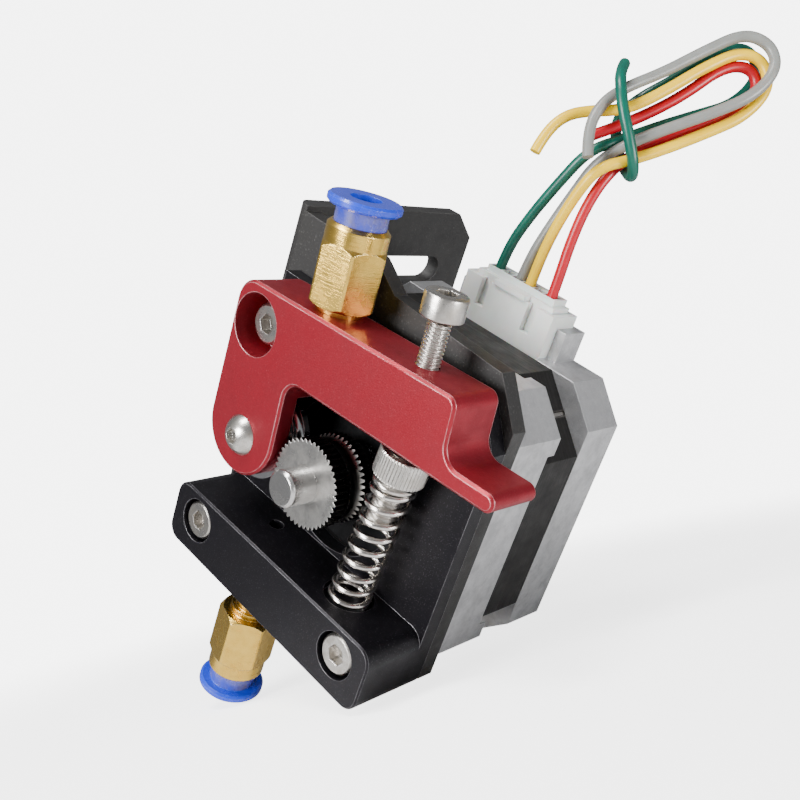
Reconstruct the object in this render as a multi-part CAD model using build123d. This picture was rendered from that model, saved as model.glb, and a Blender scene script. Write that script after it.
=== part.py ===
"""Direct-drive filament extruder: stepper motor, bracket, base block, sprung idler lever.

Everything is drawn in a working frame whose origin is where the motor shaft crosses the motor's
front face: +X to the lever's thumb tab, +Y back along the motor, +Z up along the filament.
The parts are moved at export so that the frame's origin is the centre of the slots in the
bracket's flange, on the flange's outer face.
"""
import math
import os

from build123d import *

# ---- driving dimensions, millimetres and degrees ---------------------------------------
MOTOR_HALF = 21.05        # half the motor's square section
MOTOR_CHAMFER = 4.9
BELL_FRONT_END = 7.4      # where the front bell meets the stack
STACK_END = 15.2
MOTOR_LENGTH = 22.5
HOLE_PITCH = 15.5         # motor screw holes, from the shaft axis
PILOT_R = 11.0
PILOT_HEIGHT = 2.0
BELL_WALL = 2.8
BELL_CAVITY_R = 18.2
SHAFT_R = 2.5
SHAFT_END = -16.0
BEARING_R = 6.5
BEARING_WIDTH = 4.0
ROTOR_R = 11.7
STATOR_BORE_R = 12.0

BRACKET_THICK = 2.5
FLANGE_X = -25.5          # outer face of the bracket's flange
FLANGE_BACK = 34.7
FLANGE_TOP = 29.6
BRACKET_TOP = 24.3
SLOT_LENGTH = 20.0
SLOT_R = 2.2
SLOT_Y = 19.0
SLOT_Z = (20.0, -11.4)

PLATE_FRONT = -5.0        # front face of the base block's thin plate
PLATE_TOP = 20.8
BLOCK_FRONT = -14.45      # front face of its thick lower part
SHELF_TOP = -11.4
BLOCK_CORNER_R = 2.3
BORE_R = 11.0

LEVER_FRONT = -13.05
LEVER_BACK = -5.2
LEVER_TILT = -3.5         # the lever's lean at rest, thumb tab up
PIVOT = (-15.5, 15.5)
LEVER_TOP = 21.1
LEVER_UNDER = 11.05
ARM_BACK = -10.35         # the arm in front of the idler is thinner than the bar
ARM_END = (-14.15, 1.1)
ARM_R = 6.75

FILAMENT_Y = -8.2
OUTLET_X = -6.25
INLET_X = -5.9            # in the lever's square position
GEAR_R = 6.1
GEAR_TEETH = 44
GEAR_FRONT = -11.9
GEAR_GROOVE_DEPTH = 0.75
IDLER = (-13.85, 0.0)     # in the lever's square position
IDLER_R = 6.5
IDLER_WIDTH = 4.0

SPRING_Y = -8.8
SPRING_SEAT = (10.4, -12.2)
SPRING_TOP = (11.69, 7.6)
SPRING_MEAN_R = 2.6
WIRE_R = 0.4
SPRING_TURNS = 10
ADJUST_X = 10.9           # in the lever's square position
ADJUST_HEAD_TOP = 30.2

M3_R = 1.5
M3_HEAD_R = 2.75
M3_HEAD = 3.0
M4_R = 2.0
M4_HEAD_R = 3.5
M4_HEAD = 4.0

FITTING_FLATS = 8.2
FITTING_THREAD_R = 2.5
TUBE_R = 2.0

HEADER_X = 1.1
HEADER_PITCH = 2.0
HEADER_TOP = 27.2
HEADER_Y = (15.9, 21.6)
PLUG_TOP = 28.8
LEAD_R = 0.75

ORIGIN = (FLANGE_X, SLOT_Y, (SLOT_Z[0] + SLOT_Z[1]) / 2)
LID = 0.05                # overshoot for cutting tools


# ---- small makers ----------------------------------------------------------------------
def box(x, y, z):
    """A block from three (low, high) pairs."""
    size = (x[1] - x[0], y[1] - y[0], z[1] - z[0])
    centre = ((x[0] + x[1]) / 2, (y[0] + y[1]) / 2, (z[0] + z[1]) / 2)
    return Pos(*centre) * Box(*size)


def rod_y(at, y, radius):
    """A round bar along Y at (x, z)."""
    return Pos(at[0], (y[0] + y[1]) / 2, at[1]) * Rot(90, 0, 0) * Cylinder(radius, y[1] - y[0])


def rod_z(at, z, radius):
    """A round bar along Z at (x, y)."""
    return Pos(at[0], at[1], (z[0] + z[1]) / 2) * Cylinder(radius, z[1] - z[0])


def slab_y(outline, y):
    """An outline of (x, z) corners, from y[0] back to y[1]."""
    face = make_face(Polyline(*outline, close=True))
    return Pos(0, y[1], 0) * Rot(90, 0, 0) * extrude(face, y[1] - y[0])


def group(shapes):
    """Separate solids of one node."""
    return Part() + shapes


def square_corners(pitch):
    return [(sx * pitch, sz * pitch) for sx in (-1, 1) for sz in (-1, 1)]


def tilted(shape):
    """Swing a lever part from its square position to its rest position."""
    return Pos(PIVOT[0], 0, PIVOT[1]) * Rot(0, LEVER_TILT, 0) * Pos(-PIVOT[0], 0, -PIVOT[1]) * shape


def hex_bar(across_flats, length, turn=0):
    """A hexagonal bar from z=0 up."""
    return extrude(RegularPolygon(across_flats / 2, 6, major_radius=False, rotation=turn), length)


def cap_screw(radius, head_r, head, length, socket):
    """A socket cap screw: head above z=0, shank below."""
    body = rod_z((0, 0), (0, head), head_r)
    body = chamfer(body.edges().sort_by(Axis.Z)[-1], 0.3)
    body -= Pos(0, 0, head - socket) * hex_bar(radius * 5 / 3, socket + LID)
    shank = chamfer(rod_z((0, 0), (-length, 0), radius).edges().sort_by(Axis.Z)[0], 0.3)
    return body + shank


def facing_front(shape, at, y):
    """Turn a +Z part to face -Y and put its z=0 plane at y."""
    return Pos(at[0], y, at[1]) * Rot(90, 0, 0) * shape


def octagon(half, cut):
    inner = half - cut
    return [(-inner, -half), (inner, -half), (half, -inner), (half, inner),
            (inner, half), (-inner, half), (-half, inner), (-half, -inner)]


# ---- the motor -------------------------------------------------------------------------
EAR_Y = BELL_FRONT_END + 1.4
EAR_FROM = 13.6
STACK_CUT = 8.6
FRONT_SEAT = (0.9, 0.9 + BEARING_WIDTH)
REAR_SEAT = (17.6, 17.6 + BEARING_WIDTH)
WASHER = 0.3


def front_bell():
    shell = slab_y(octagon(MOTOR_HALF, MOTOR_CHAMFER), (0, EAR_Y))
    keep_out = slab_y(octagon(MOTOR_HALF, MOTOR_HALF - EAR_FROM), (BELL_FRONT_END, EAR_Y + LID))
    keep_out += slab_y(octagon(MOTOR_HALF + LID, STACK_CUT), (BELL_FRONT_END, EAR_Y + LID))
    shell -= keep_out
    shell += rod_y((0, 0), (-PILOT_HEIGHT, 0), PILOT_R)
    shell -= rod_y((0, 0), (BELL_WALL, EAR_Y + LID), BELL_CAVITY_R)
    shell += rod_y((0, 0), (BELL_WALL - LID, FRONT_SEAT[1]), 9.0)
    shell -= rod_y((0, 0), (FRONT_SEAT[0], FRONT_SEAT[1] + LID), BEARING_R)
    shell -= rod_y((0, 0), (-PILOT_HEIGHT - LID, FRONT_SEAT[0] + LID), 4.5)
    for at in square_corners(HOLE_PITCH):
        shell -= rod_y(at, (-LID, EAR_Y + LID), M3_R)
    return shell


def stator_stack():
    stack = slab_y(octagon(MOTOR_HALF - 0.1, STACK_CUT), (BELL_FRONT_END, STACK_END))
    stack -= rod_y((0, 0), (BELL_FRONT_END - LID, STACK_END + LID), STATOR_BORE_R)
    for angle in range(0, 360, 45):
        at = winding_centre(angle)
        stack -= rod_y(at, (BELL_FRONT_END - LID, STACK_END + LID), 2.2)
    for at in square_corners(HOLE_PITCH):
        stack -= rod_y(at, (BELL_FRONT_END - LID, STACK_END + LID), M3_R + 0.15)
    return stack


def winding_centre(angle):
    turn = math.radians(angle + 22.5)
    return (15.2 * math.cos(turn), 15.2 * math.sin(turn))


def stator_windings():
    coil = ring_y((4.9, BELL_FRONT_END - LID), 13.0, 17.4)
    coil += ring_y((STACK_END + LID, 18.2), 13.0, 17.4)
    for angle in range(0, 360, 45):
        coil += rod_y(winding_centre(angle), (6.0, 17.0), 2.1)
    return coil


def ring_y(y, inner, outer, at=(0, 0)):
    return rod_y(at, y, outer) - rod_y(at, (y[0] - LID, y[1] + LID), inner)


HEADER_HALF = 8.2
LIP_TOP = 25.4
LIP_WALL = 1.5


def rear_bell():
    shell = slab_y(octagon(MOTOR_HALF, MOTOR_CHAMFER), (STACK_END, MOTOR_LENGTH))
    shell += box((HEADER_X - HEADER_HALF - 0.1 - LIP_WALL, HEADER_X + HEADER_HALF + 0.1 + LIP_WALL),
                 (17.8, MOTOR_LENGTH), (MOTOR_HALF - 1, LIP_TOP))
    shell -= box((HEADER_X - HEADER_HALF, HEADER_X + HEADER_HALF),
                 (STACK_END - LID, HEADER_Y[1]), (19.2, LIP_TOP + LID))
    shell -= rod_y((0, 0), (STACK_END - LID, MOTOR_LENGTH - BELL_WALL), BELL_CAVITY_R)
    shell += rod_y((0, 0), (REAR_SEAT[0], MOTOR_LENGTH - BELL_WALL + LID), 9.0)
    shell -= rod_y((0, 0), (REAR_SEAT[0] - LID, REAR_SEAT[1] + WASHER), BEARING_R)
    for at in square_corners(HOLE_PITCH):
        shell -= rod_y(at, (STACK_END - LID, MOTOR_LENGTH + LID), M3_R + 0.15)
        shell -= rod_y(at, (MOTOR_LENGTH - 2.0, MOTOR_LENGTH + LID), M3_HEAD_R + 0.2)
    return shell


def case_screws():
    screws = []
    for at in square_corners(HOLE_PITCH):
        screw = cap_screw(M3_R, M3_HEAD_R, 1.8, 15.6, 1.2)
        screws.append(Pos(at[0], MOTOR_LENGTH - 2.0, at[1]) * Rot(-90, 0, 0) * screw)
    return group(screws)


def bearing_rings():
    """Outer rings, inner rings and balls of the two motor bearings."""
    outer, inner, balls = [], [], []
    for y in (FRONT_SEAT, REAR_SEAT):
        middle = (y[0] + y[1]) / 2
        track = Pos(0, middle, 0) * Rot(90, 0, 0) * Torus(4.5, 0.95)
        outer.append(ring_y(y, 5.3, BEARING_R) - track)
        inner.append(ring_y(y, SHAFT_R, 3.7) - track)
        for step in range(7):
            turn = math.radians(step * 360 / 7)
            balls.append(Pos(4.5 * math.cos(turn), middle, 4.5 * math.sin(turn)) * Sphere(0.9))
    return group(outer), group(inner), group(balls)


def rotor_cup(y):
    """One toothed half of the rotor, fifty teeth round."""
    points = []
    flanks = ((-0.25, ROTOR_R - 0.5), (-0.2, ROTOR_R), (0.2, ROTOR_R), (0.25, ROTOR_R - 0.5))
    for tooth in range(50):
        for offset, radius in flanks:
            turn = math.radians((tooth + offset) * 7.2)
            points.append((radius * math.cos(turn), radius * math.sin(turn)))
    return slab_y(points, y) - rod_y((0, 0), (y[0] - LID, y[1] + LID), SHAFT_R)


def motor_shaft():
    shaft = rod_y((0, 0), (SHAFT_END, REAR_SEAT[1] - 0.3), SHAFT_R)
    shaft = chamfer(shaft.edges().filter_by(GeomType.CIRCLE), 0.35)
    return shaft - box((-2, 2), (SHAFT_END + 7.5, -2.5), (-SHAFT_R - LID, -SHAFT_R + 0.45))


# ---- connector on the motor ------------------------------------------------------------
def header_pin_x():
    return [HEADER_X + (place - 2.5) * HEADER_PITCH for place in range(6)]


LEAD_PINS = (0, 2, 3, 5)


def header_housing():
    low, high = HEADER_X - HEADER_HALF, HEADER_X + HEADER_HALF
    shell = box((low, high), HEADER_Y, (19.2, HEADER_TOP))
    shell -= box((low + 1.0, high - 1.0), (HEADER_Y[0] + 0.9, HEADER_Y[1] - 0.8), (21.6, HEADER_TOP + LID))
    for x in (-4.4, 4.4):
        shell -= box((HEADER_X + x - 0.8, HEADER_X + x + 0.8), (HEADER_Y[0] - LID, HEADER_Y[0] + 0.95),
                     (23.2, HEADER_TOP + LID))
    for x in header_pin_x():
        shell -= box((x - 0.25, x + 0.25), (18.5, 19.0), (19.2 - LID, 21.6 + LID))
    return shell


def header_pins():
    pins = [box((x - 0.25, x + 0.25), (18.5, 19.0), (19.2, 25.6)) for x in header_pin_x()]
    return group(pins)


def plug_housing():
    low, high = HEADER_X - HEADER_HALF + 1.1, HEADER_X + HEADER_HALF - 1.1
    body = box((low, high), (HEADER_Y[0] + 1.0, HEADER_Y[1] - 0.9), (21.7, PLUG_TOP - 0.9))
    body += box((low + 0.8, high - 0.8), (HEADER_Y[0] + 1.8, HEADER_Y[1] - 0.9), (PLUG_TOP - 1.0, PLUG_TOP))
    panel_y = (HEADER_Y[0] - 0.35, HEADER_Y[0] + 1.2)
    body += box((HEADER_X - 2.9, HEADER_X + 2.9), panel_y, (HEADER_TOP, PLUG_TOP - 0.9))
    for x in header_pin_x():
        body -= box((x - 0.85, x + 0.85), (17.9, 19.6), (21.7 - LID, PLUG_TOP + LID))
    return body


def plug_contacts():
    """Crimped sockets on the four pins that carry leads."""
    pieces = []
    for place in LEAD_PINS:
        x = header_pin_x()[place]
        sleeve = box((x - 0.6, x + 0.6), (18.15, 19.35), (21.9, 26.4))
        pieces.append(sleeve - box((x - 0.25, x + 0.25), (18.5, 19.0), (21.9 - LID, 25.7)))
    return group(pieces)


# ---- bracket and base block ------------------------------------------------------------
def mount_bracket():
    """Folded steel: a face plate under the motor and a slotted flange beside it."""
    inside = FLANGE_X + BRACKET_THICK
    outline = [(FLANGE_X, -MOTOR_HALF), (MOTOR_HALF - 1.6, -MOTOR_HALF), (MOTOR_HALF, -MOTOR_HALF + 1.6),
               (MOTOR_HALF, 18.4), (16.6, BRACKET_TOP), (-3.0, BRACKET_TOP + 0.9), (-8.0, 28.4),
               (inside, 28.8), (FLANGE_X, FLANGE_TOP)]
    plate = slab_y(outline, (-BRACKET_THICK, 0))
    side = [(-BRACKET_THICK, -MOTOR_HALF), (FLANGE_BACK - 4.4, -MOTOR_HALF), (FLANGE_BACK, -MOTOR_HALF + 4.0),
            (FLANGE_BACK, FLANGE_TOP - 4.0), (FLANGE_BACK - 4.4, FLANGE_TOP), (-BRACKET_THICK, FLANGE_TOP)]
    wing = Plane.YZ * make_face(Polyline(*side, close=True))
    bracket = plate + Pos(FLANGE_X, 0, 0) * extrude(wing, BRACKET_THICK, dir=(1, 0, 0))
    bend = bracket.edges().filter_by(Axis.Z).sort_by(lambda e: e.center().X + e.center().Y)[0]
    bracket = fillet(bend, 2.2)
    bracket -= rod_y((0, 0), (-BRACKET_THICK - LID, LID), PILOT_R + 0.05)
    for at in square_corners(HOLE_PITCH):
        bracket -= rod_y(at, (-BRACKET_THICK - LID, LID), M3_R + 0.15)
    for z in SLOT_Z:
        slot = Plane.YZ * SlotOverall(SLOT_LENGTH, SLOT_R * 2)
        cutter = extrude(slot, BRACKET_THICK + 2 * LID, dir=(1, 0, 0))
        bracket -= Pos(FLANGE_X - LID, SLOT_Y, z) * cutter
    return bracket


def base_block():
    """The machined block: a thin plate behind the lever and a thick foot below it."""
    plate = slab_y([(-MOTOR_HALF, -MOTOR_HALF), (MOTOR_HALF, -MOTOR_HALF), (MOTOR_HALF, 15.6),
                    (17.6, PLATE_TOP), (-MOTOR_HALF, PLATE_TOP)], (PLATE_FRONT, -BRACKET_THICK))
    foot = box((-MOTOR_HALF, MOTOR_HALF), (BLOCK_FRONT, PLATE_FRONT + LID), (-MOTOR_HALF, SHELF_TOP))
    top_edges = foot.edges().filter_by(Axis.Y).group_by(Axis.Z)[-1]
    block = plate + fillet(top_edges, BLOCK_CORNER_R)
    bottom_edges = block.edges().filter_by(Axis.Y).group_by(Axis.Z)[0]
    block = fillet(bottom_edges, BLOCK_CORNER_R)
    front_rim = block.faces().sort_by(Axis.Y)[0].edges()
    block = chamfer(front_rim, 0.25)
    block -= rod_y((0, 0), (PLATE_FRONT - LID, -BRACKET_THICK + LID), BORE_R)
    for at in ((-HOLE_PITCH, -HOLE_PITCH), (HOLE_PITCH, -HOLE_PITCH)):
        block -= rod_y(at, (BLOCK_FRONT - LID, -BRACKET_THICK + LID), M3_R + 0.15)
        block -= rod_y(at, (BLOCK_FRONT - LID, BLOCK_FRONT + M3_HEAD + 0.3), M3_HEAD_R + 0.45)
    for at in (PIVOT, (HOLE_PITCH, HOLE_PITCH)):
        block -= rod_y(at, (PLATE_FRONT - LID, -BRACKET_THICK + LID), M3_R + 0.15)
    block -= Pos(HOLE_PITCH, PLATE_FRONT + 0.8, HOLE_PITCH) * Rot(90, 0, 0) * Cone(M3_R, 3.2, 1.7)
    path = (OUTLET_X, FILAMENT_Y)
    block -= rod_z(path, (-MOTOR_HALF - LID, SHELF_TOP + LID), 1.1)
    block -= rod_z(path, (-MOTOR_HALF - LID, -MOTOR_HALF + 5.5), FITTING_THREAD_R)
    pocket_r = SPRING_MEAN_R + WIRE_R + 0.5
    block -= rod_z((SPRING_SEAT[0], SPRING_Y), (SPRING_SEAT[1] - 0.15, SHELF_TOP + LID), pocket_r)
    return block


def block_screws():
    y = BLOCK_FRONT + M3_HEAD + 0.3
    screw = cap_screw(M3_R, M3_HEAD_R, M3_HEAD, 3.5 - y, 1.6)
    screws = [facing_front(screw, (sx * HOLE_PITCH, -HOLE_PITCH), y) for sx in (-1, 1)]
    return group(screws)


def plate_screw():
    """Countersunk screw that holds the plate behind the lever."""
    head = Pos(0, 0, -0.8) * Cone(M3_R, 3.1, 1.6)
    screw = head + rod_z((0, 0), (-8.5, -1.5), M3_R)
    screw -= Pos(0, 0, -1.1) * hex_bar(2.0, 1.2)
    return facing_front(screw, (HOLE_PITCH, HOLE_PITCH), PLATE_FRONT + 0.05)


# ---- lever -----------------------------------------------------------------------------
TAB_END = 28.2
TAB_TOP = 13.4
PIVOT_HEAD_TOP = -11.1
COUNTERBORE_R = 4.3


def lever_outline():
    """The lever seen from the front: bar, thumb tab, notch and rounded arm."""
    right = 19.7
    thumb_r = 2.6
    notch_r = 2.4
    arm_left, arm_right = ARM_END[0] - ARM_R, ARM_END[0] + ARM_R
    return [
        Line((-16.8, LEVER_TOP), (right - 1.6, LEVER_TOP)),
        RadiusArc((right - 1.6, LEVER_TOP), (right - 0.1, LEVER_TOP - 1.5), 1.5),
        Line((right - 0.1, LEVER_TOP - 1.5), (right + 0.1, TAB_TOP + thumb_r)),
        RadiusArc((right + 0.1, TAB_TOP + thumb_r), (right + 0.1 + thumb_r, TAB_TOP), -thumb_r),
        Line((right + 0.1 + thumb_r, TAB_TOP), (TAB_END - 1.2, TAB_TOP)),
        RadiusArc((TAB_END - 1.2, TAB_TOP), (TAB_END, TAB_TOP - 1.175), 1.2),
        RadiusArc((TAB_END, TAB_TOP - 1.175), (TAB_END - 1.2, LEVER_UNDER), 1.2),
        Line((TAB_END - 1.2, LEVER_UNDER), (arm_right + notch_r, LEVER_UNDER)),
        RadiusArc((arm_right + notch_r, LEVER_UNDER), (arm_right, LEVER_UNDER - notch_r), -notch_r),
        Line((arm_right, LEVER_UNDER - notch_r), (arm_right, ARM_END[1])),
        RadiusArc((arm_right, ARM_END[1]), (ARM_END[0], ARM_END[1] - ARM_R), ARM_R),
        RadiusArc((ARM_END[0], ARM_END[1] - ARM_R), (arm_left, ARM_END[1]), ARM_R),
        Line((arm_left, ARM_END[1]), (-20.2, LEVER_TOP - 3.2)),
        RadiusArc((-20.2, LEVER_TOP - 3.2), (-16.8, LEVER_TOP), 3.4),
    ]


def lever():
    face = make_face(Curve() + lever_outline())
    body = Pos(0, LEVER_BACK, 0) * Rot(90, 0, 0) * extrude(face, LEVER_BACK - LEVER_FRONT)
    front_rim = body.faces().sort_by(Axis.Y)[0].edges()
    body = chamfer(front_rim, 0.35)
    body -= box((-24, -4), (ARM_BACK, LEVER_BACK + LID), (-8, 8.3))
    body -= rod_y(PIVOT, (LEVER_FRONT - LID, LEVER_BACK + LID), M3_R + 0.05)
    body -= rod_y(PIVOT, (LEVER_FRONT - LID, PIVOT_HEAD_TOP + M3_HEAD), COUNTERBORE_R)
    body -= rod_y(IDLER, (LEVER_FRONT - LID, ARM_BACK + LID), M3_R)
    path = (INLET_X, FILAMENT_Y)
    body -= rod_z(path, (LEVER_UNDER - 3, LEVER_TOP + LID), 1.1)
    body -= rod_z(path, (LEVER_TOP - 5.5, LEVER_TOP + LID), FITTING_THREAD_R)
    body -= rod_z((ADJUST_X, SPRING_Y), (LEVER_UNDER - LID, LEVER_TOP + LID), M3_R + 0.05)
    return tilted(body)


def pivot_screw():
    y = PIVOT_HEAD_TOP + M3_HEAD
    return facing_front(cap_screw(M3_R, M3_HEAD_R, M3_HEAD - 0.02, 3.5 - y, 1.6), PIVOT, y - 0.02)


def pivot_shim():
    return ring_y((LEVER_BACK + 0.02, PLATE_FRONT), M3_R, 3.2, PIVOT)


# ---- idler -----------------------------------------------------------------------------
IDLER_Y = (FILAMENT_Y - IDLER_WIDTH / 2, FILAMENT_Y + IDLER_WIDTH / 2)


def idler_screw():
    """Button-head screw threaded through the arm; its end is the idler's axle."""
    head = Sphere(3.3) & rod_z((0, 0), (1.6, 3.3), 2.86)
    screw = Pos(0, 0, -1.6) * head - Pos(0, 0, 0.6) * hex_bar(2.0, 2)
    screw += rod_z((0, 0), (LEVER_FRONT - IDLER_Y[1], 0), M3_R)
    return tilted(facing_front(screw, IDLER, LEVER_FRONT))


def idler_bush():
    sleeve = ring_y((ARM_BACK + 0.0, IDLER_Y[1]), M3_R, 2.0, IDLER)
    return tilted(sleeve + ring_y((ARM_BACK, IDLER_Y[0]), M3_R, 2.8, IDLER))


def idler_rings():
    """Grooved outer ring, inner ring and balls of the idler bearing."""
    middle = (IDLER_Y[0] + IDLER_Y[1]) / 2
    centre = Pos(IDLER[0], middle, IDLER[1]) * Rot(90, 0, 0)
    track = centre * Torus(4.0, 0.75)
    outer = ring_y(IDLER_Y, 4.6, IDLER_R, IDLER) - track - centre * Torus(IDLER_R + 0.35, 1.1)
    inner = ring_y(IDLER_Y, 2.0, 3.4, IDLER) - track
    balls = []
    for step in range(8):
        turn = math.radians(step * 45)
        balls.append(centre * Pos(4.0 * math.cos(turn), 4.0 * math.sin(turn), 0) * Sphere(0.7))
    return tilted(outer), tilted(inner), tilted(group(balls))


# ---- drive gear ------------------------------------------------------------------------
HUB_Y = (-5.4, -2.8)
HUB_R = 4.4
SET_SCREW_Y = -4.1


def drive_gear():
    points = []
    for tooth in range(GEAR_TEETH):
        for offset, radius in ((0, GEAR_R - 0.5), (0.35, GEAR_R), (0.6, GEAR_R)):
            turn = 2 * math.pi * (tooth + offset) / GEAR_TEETH
            points.append((radius * math.cos(turn), radius * math.sin(turn)))
    gear = slab_y(points, (GEAR_FRONT, HUB_Y[0])) + rod_y((0, 0), HUB_Y, HUB_R)
    gear -= rod_y((0, 0), (GEAR_FRONT - LID, HUB_Y[1] + LID), SHAFT_R)
    gear -= Pos(0, FILAMENT_Y, 0) * Rot(90, 0, 0) * Torus(GEAR_R - GEAR_GROOVE_DEPTH + 1.6, 1.6)
    return gear - rod_z((0, SET_SCREW_Y), (-HUB_R - 1, -1.5), 1.25)


def gear_set_screw():
    screw = rod_z((0, SET_SCREW_Y), (-HUB_R, -SHAFT_R + 0.45), 1.25)
    return screw - Pos(0, SET_SCREW_Y, -HUB_R - LID) * hex_bar(1.3, 1.0)


# ---- tensioning screws and spring ------------------------------------------------------
def adjust_screw():
    tip = 9.7
    under_head = ADJUST_HEAD_TOP - M3_HEAD
    screw = cap_screw(M3_R, M3_HEAD_R, M3_HEAD, under_head - tip, 1.8)
    return tilted(Pos(ADJUST_X, SPRING_Y, under_head) * screw)


def spring_lean():
    """The spring's lean from upright, in degrees, and its length."""
    dx, dz = SPRING_TOP[0] - SPRING_SEAT[0], SPRING_TOP[1] - SPRING_SEAT[1]
    return math.degrees(math.atan2(dx, dz)), math.hypot(dx, dz)


def guide_screw():
    """Knurled cap screw that centres the spring; the adjusting screw bears on its head."""
    lean = spring_lean()[0]
    screw = rod_z((0, 0), (0, M4_HEAD), M4_HEAD_R) - rod_z((0, 0), (M4_HEAD - 0.5, M4_HEAD + LID), 2.3)
    screw += rod_z((0, 0), (-7.5, 0), M4_R)
    return Pos(SPRING_TOP[0], SPRING_Y, SPRING_TOP[1]) * Rot(0, lean, 0) * screw


def spring():
    lean, length = spring_lean()
    rise = length - 2 * WIRE_R - 0.04
    path = Helix(rise / SPRING_TURNS, rise, SPRING_MEAN_R)
    section = Plane(origin=path @ 0, z_dir=path % 0) * Circle(WIRE_R)
    coil = sweep(section, path=path, is_frenet=True)
    return Pos(SPRING_SEAT[0], SPRING_Y, SPRING_SEAT[1] + WIRE_R + 0.02) * Rot(0, lean, 0) * coil


# ---- push-in tube fittings, drawn mouth up ---------------------------------------------
THREAD = 5.0
COLLAR = 0.9
HEX = 8.1
SHOULDER = 2.6
NECK = 2.1
FLANGE = 1.2
BODY_TOP = COLLAR + HEX + SHOULDER
COLLET_TRAVEL = 1.2


def fitting_body(exposed_thread):
    """Brass body from its seat at z=0: thread below, collar, hexagon and round shoulder above."""
    body = rod_z((0, 0), (-THREAD, exposed_thread), FITTING_THREAD_R)
    body += Pos(0, 0, exposed_thread) * rod_z((0, 0), (0, COLLAR), 3.1)
    hexagon = hex_bar(FITTING_FLATS, HEX, turn=15) & Pos(0, 0, HEX / 2) * chamfer(
        Cylinder(FITTING_FLATS / 2 * 1.13, HEX).edges().filter_by(GeomType.CIRCLE), 0.5)
    body += Pos(0, 0, exposed_thread + COLLAR) * hexagon
    shoulder = chamfer(rod_z((0, 0), (0, SHOULDER), FITTING_FLATS / 2).edges().sort_by(Axis.Z)[-1], 0.5)
    body += Pos(0, 0, exposed_thread + COLLAR + HEX) * shoulder
    top = exposed_thread + BODY_TOP
    body -= rod_z((0, 0), (-THREAD - LID, top + LID), 1.1)
    body -= rod_z((0, 0), (exposed_thread + 1.5, top + LID), TUBE_R + 0.08)
    return body - rod_z((0, 0), (exposed_thread + 3.6, top + LID), 3.45)


def fitting_seal(exposed_thread):
    return Pos(0, 0, exposed_thread + 4.25) * Torus(2.75, 0.62)


def fitting_collet(exposed_thread):
    """Blue release collet: split sleeve inside the body, neck and flange outside."""
    top = exposed_thread + BODY_TOP
    low = exposed_thread + 3.6 + 1.4 + COLLET_TRAVEL
    collet = rod_z((0, 0), (low, top + NECK), 3.4)
    flange = rod_z((0, 0), (top + NECK, top + NECK + FLANGE), 4.8)
    collet += chamfer(flange.edges().filter_by(GeomType.CIRCLE), 0.3)
    collet -= rod_z((0, 0), (low - LID, top + NECK + FLANGE + LID), TUBE_R + 0.06)
    for turn in (0, 90):
        collet -= Rot(0, 0, turn) * box((-4, 4), (-0.3, 0.3), (low - LID, top - 1.5))
    return collet


EXPOSED_THREAD = 4.5


def inlet(shape):
    return tilted(Pos(INLET_X, FILAMENT_Y, LEVER_TOP) * shape)


def outlet(shape):
    return Pos(OUTLET_X, FILAMENT_Y, -MOTOR_HALF) * Rot(180, 0, 0) * shape


# ---- loose leads -----------------------------------------------------------------------
# Route corners of each lead from the plug up into the tied hank, and of the two loose ends.
LEADS = {
    "green": [(-3.8, 18.75, 31.6), (-2.1, 18.9, 37.2), (0.2, 19.1, 42.8), (2.6, 19.6, 48.0)],
    "grey": [(0.3, 18.8, 31.6), (1.2, 19.5, 37.0), (2.4, 20.3, 42.4), (3.9, 21.0, 47.4)],
    "yellow": [(2.1, 18.6, 31.4), (2.7, 18.4, 36.8), (3.8, 18.5, 42.2), (5.3, 19.0, 47.2)],
    "red": [(6.0, 18.8, 31.2), (5.5, 19.1, 36.6), (5.4, 19.7, 41.8), (6.3, 20.4, 46.8)],
}
LOOSE_ENDS = {
    "green": [(3.6, 24.0, 54.0), (2.2, 23.6, 56.4), (1.8, 24.4, 59.0)],
    "yellow": [(3.4, 22.6, 52.9), (0.6, 20.4, 53.3), (-1.5, 18.0, 51.8), (-2.3, 16.0, 49.0),
               (-2.0, 14.7, 46.2)],
}
# The hank leans back over the motor: its start, its length-wise and cross-wise directions.
HANK_START = Vector(3.1, 20.6, 50.1)
HANK_ALONG = Vector(0.435, 0.654, 0.619)
HANK_ACROSS = Vector(-0.712, -0.169, 0.681)
# Distance along, offset across, half-width across and half-thickness of its outer shape.
HANK_SHAPE = [(-3.0, -2.6, 1.8, 1.6), (-0.8, -1.2, 4.0, 2.6), (4.0, 0.3, 3.8, 2.8), (12.0, 0.1, 4.3, 2.4),
              (19.0, 0.7, 5.2, 2.2), (24.0, 1.0, 4.0, 1.9), (26.4, 1.0, 1.8, 1.1)]


def lead_route(name):
    """Straight up out of the plug, then along the chosen corners."""
    x = header_pin_x()[LEAD_PINS[list(LEADS).index(name)]]
    return [(x, 18.75, 26.5)] + LEADS[name]


def tube(points, radius):
    """Straight runs joined by arcs as large as the runs allow."""
    knots = [Vector(*p) for p in points]
    radii = []
    for before, knot, after in zip(knots, knots[1:], knots[2:]):
        turn = math.radians((knot - before).get_angle(after - knot))
        shorter = min((knot - before).length, (after - knot).length)
        radii.append(0.45 * shorter / math.tan(turn / 2))
    print("   radii", [round(r, 1) for r in radii])
    path = FilletPolyline(*points, radius=radii)
    section = Plane(origin=path @ 0, z_dir=path % 0) * Circle(radius)
    solid = sweep(section, path=path)
    print("   length", round(path.length, 1), "volume ratio",
          round(solid.volume / (math.pi * radius ** 2 * path.length), 4))
    return solid


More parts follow.
